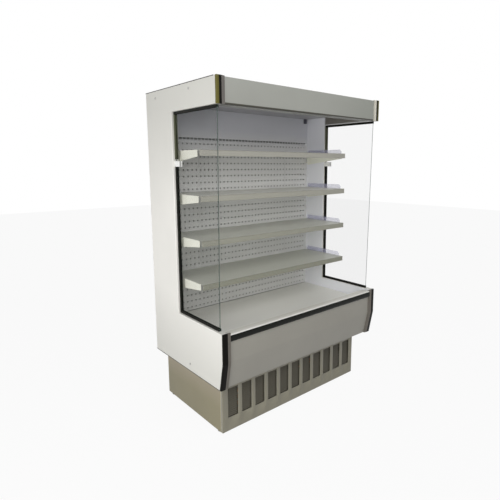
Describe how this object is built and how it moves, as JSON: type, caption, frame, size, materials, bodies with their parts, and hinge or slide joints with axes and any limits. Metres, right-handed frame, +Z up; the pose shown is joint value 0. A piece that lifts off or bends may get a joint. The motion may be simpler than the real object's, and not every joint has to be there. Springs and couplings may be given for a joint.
{
  "type": "refrigerated display case",
  "caption": "Open-front upright refrigerated display case with glazed end walls, tilting shelves on slotted uprights, a perforated back, and a louvred machine base.",
  "frame": {"origin": "on the floor, under the centre of the case's footprint", "axes": "+X to the right seen from the front, +Y to the rear, +Z up"},
  "size_m": [1.33, 0.79, 2],
  "materials": {
    "panel_paint": "semi-gloss powder coat, light grey",
    "skin_paint": "semi-gloss coated sheet",
    "liner_paint": "satin coated sheet, light grey",
    "fascia_paint": "satin coated sheet, olive grey",
    "apron_paint": "satin coated sheet, taupe grey",
    "kick_paint": "satin coated sheet, olive grey",
    "shelf_paint": "satin powder coat, light grey",
    "trim_plastic": "moulded, near black",
    "bumper_plastic": "extruded, black",
    "gasket_rubber": "matt black",
    "pane_glass": "clear toughened glass",
    "clip_plastic": "moulded, white",
    "rail_plastic": "extruded, light grey",
    "clear_plastic": "clear moulding",
    "lamp_body": "white",
    "lamp_glass": "opal glass tube",
    "duct_plastic": "moulded, grey",
    "galvanised_steel": "galvanised",
    "frame_paint": "satin, dark grey",
    "coil_metal": "bright fins",
    "copper_pipe": "drawn copper",
    "motor_paint": "satin black",
    "fan_plastic": "moulded, black",
    "compressor_paint": "gloss black",
    "mount_rubber": "matt black",
    "tray_plastic": "moulded, grey",
    "drain_plastic": "grey-white",
    "box_paint": "satin grey",
    "rocker_plastic": "black",
    "gland_plastic": "black",
    "foot_steel": "zinc plated",
    "foam": "rigid foam, cream",
    "probe_plastic": "black moulding"
  },
  "bodies": {
    "cabinet": {"air_honeycomb": "duct_plastic", "back_panels": "liner_paint", "base_frame": "frame_paint", "base_side_panels": "kick_paint", "bumper_strip": "bumper_plastic", "cable_gland": "gland_plastic", "canopy_fascia": "fascia_paint", "ceiling_sheet": "liner_paint", "compressor": "compressor_paint", "compressor_mounts": "mount_rubber", "condensate_tray": "tray_plastic", "condenser_coil": "coil_metal", "condenser_shroud": "galvanised_steel", "control_box": "box_paint", "drain_pipe": "drain_plastic", "edge_trims": "trim_plastic", "end_panel_left": "panel_paint", "end_panel_right": "panel_paint", "evaporator_coil": "coil_metal", "evaporator_fan_plate": "galvanised_steel", "fan_motors": "motor_paint", "front_apron": "apron_paint", "glass_clips": "clip_plastic", "glazing_gaskets": "gasket_rubber", "insulation_foam": "foam", "lamp_fitting": "lamp_body", "lamp_tube": "lamp_glass", "refrigerant_pipework": "copper_pipe", "shelf_uprights": "liner_paint", "side_glass": "pane_glass", "tank_liner": "liner_paint", "tank_outer_skin": "skin_paint", "temperature_probe": "probe_plastic"},
    "shelf_1": {"shelf_1_brackets": "shelf_paint", "shelf_1_tray": "shelf_paint", "shelf_1_ticket_rail": "rail_plastic", "shelf_1_end_stops": "clear_plastic"},
    "shelf_2": {"shelf_2_brackets": "shelf_paint", "shelf_2_tray": "shelf_paint", "shelf_2_ticket_rail": "rail_plastic", "shelf_2_end_stops": "clear_plastic"},
    "shelf_3": {"shelf_3_brackets": "shelf_paint", "shelf_3_tray": "shelf_paint", "shelf_3_ticket_rail": "rail_plastic", "shelf_3_end_stops": "clear_plastic"},
    "shelf_4": {"shelf_4_brackets": "shelf_paint", "shelf_4_tray": "shelf_paint", "shelf_4_ticket_rail": "rail_plastic", "shelf_4_end_stops": "clear_plastic"},
    "deck": {"deck_pan": "shelf_paint"},
    "return_grille": {"return_air_grille": "shelf_paint"},
    "kick": {"kick_grille": "kick_paint"},
    "levelling_front_left": {"foot_front_left": "foot_steel"},
    "levelling_front_right": {"foot_front_right": "foot_steel"},
    "levelling_rear_left": {"foot_rear_left": "foot_steel"},
    "levelling_rear_right": {"foot_rear_right": "foot_steel"},
    "evaporator_rotor_left": {"evaporator_fan_left": "fan_plastic"},
    "evaporator_rotor_right": {"evaporator_fan_right": "fan_plastic"},
    "condenser_rotor": {"condenser_fan_blade": "fan_plastic"},
    "power_rocker": {"power_switch_rocker": "rocker_plastic"}
  },
  "joints": [
    {"name": "shelf_1_tilt", "type": "hinge", "parent": "cabinet", "child": "shelf_1", "pos_m": [0, 0.266, 1.638], "axis": [1, 0, 0], "range_deg": [0, 15]},
    {"name": "shelf_2_tilt", "type": "hinge", "parent": "cabinet", "child": "shelf_2", "pos_m": [0, 0.266, 1.383], "axis": [1, 0, 0], "range_deg": [0, 15]},
    {"name": "shelf_3_tilt", "type": "hinge", "parent": "cabinet", "child": "shelf_3", "pos_m": [0, 0.266, 1.128], "axis": [1, 0, 0], "range_deg": [0, 15]},
    {"name": "shelf_4_tilt", "type": "hinge", "parent": "cabinet", "child": "shelf_4", "pos_m": [0, 0.266, 0.873], "axis": [1, 0, 0], "range_deg": [0, 15]},
    {"name": "deck_pan_lift", "type": "slide", "parent": "cabinet", "child": "deck", "axis": [0, 0, 1], "range_m": [0, 0.1]},
    {"name": "return_air_grille_lift", "type": "slide", "parent": "cabinet", "child": "return_grille", "axis": [0, 0, 1], "range_m": [0, 0.08]},
    {"name": "kick_grille_pull", "type": "slide", "parent": "cabinet", "child": "kick", "axis": [0, -1, 0], "range_m": [0, 0.15]},
    {"name": "foot_front_left_screw", "type": "slide", "parent": "cabinet", "child": "levelling_front_left", "axis": [0, 0, -1], "range_m": [-0.004, 0.02]},
    {"name": "foot_front_right_screw", "type": "slide", "parent": "cabinet", "child": "levelling_front_right", "axis": [0, 0, -1], "range_m": [-0.004, 0.02]},
    {"name": "foot_rear_left_screw", "type": "slide", "parent": "cabinet", "child": "levelling_rear_left", "axis": [0, 0, -1], "range_m": [-0.004, 0.02]},
    {"name": "foot_rear_right_screw", "type": "slide", "parent": "cabinet", "child": "levelling_rear_right", "axis": [0, 0, -1], "range_m": [-0.004, 0.02]},
    {"name": "evaporator_fan_left_spin", "type": "hinge", "parent": "cabinet", "child": "evaporator_rotor_left", "pos_m": [-0.24, -0.0588, 0.488], "axis": [0, 1, 0], "continuous": true},
    {"name": "evaporator_fan_right_spin", "type": "hinge", "parent": "cabinet", "child": "evaporator_rotor_right", "pos_m": [0.24, -0.0588, 0.488], "axis": [0, 1, 0], "continuous": true},
    {"name": "condenser_fan_spin", "type": "hinge", "parent": "cabinet", "child": "condenser_rotor", "pos_m": [-0.24, -0.14546, 0.152], "axis": [0, 1, 0], "continuous": true},
    {"name": "power_rocker_press", "type": "hinge", "parent": "cabinet", "child": "power_rocker", "pos_m": [0.51, -0.231, 0.15], "axis": [1, 0, 0], "range_deg": [0, 12]}
  ]
}
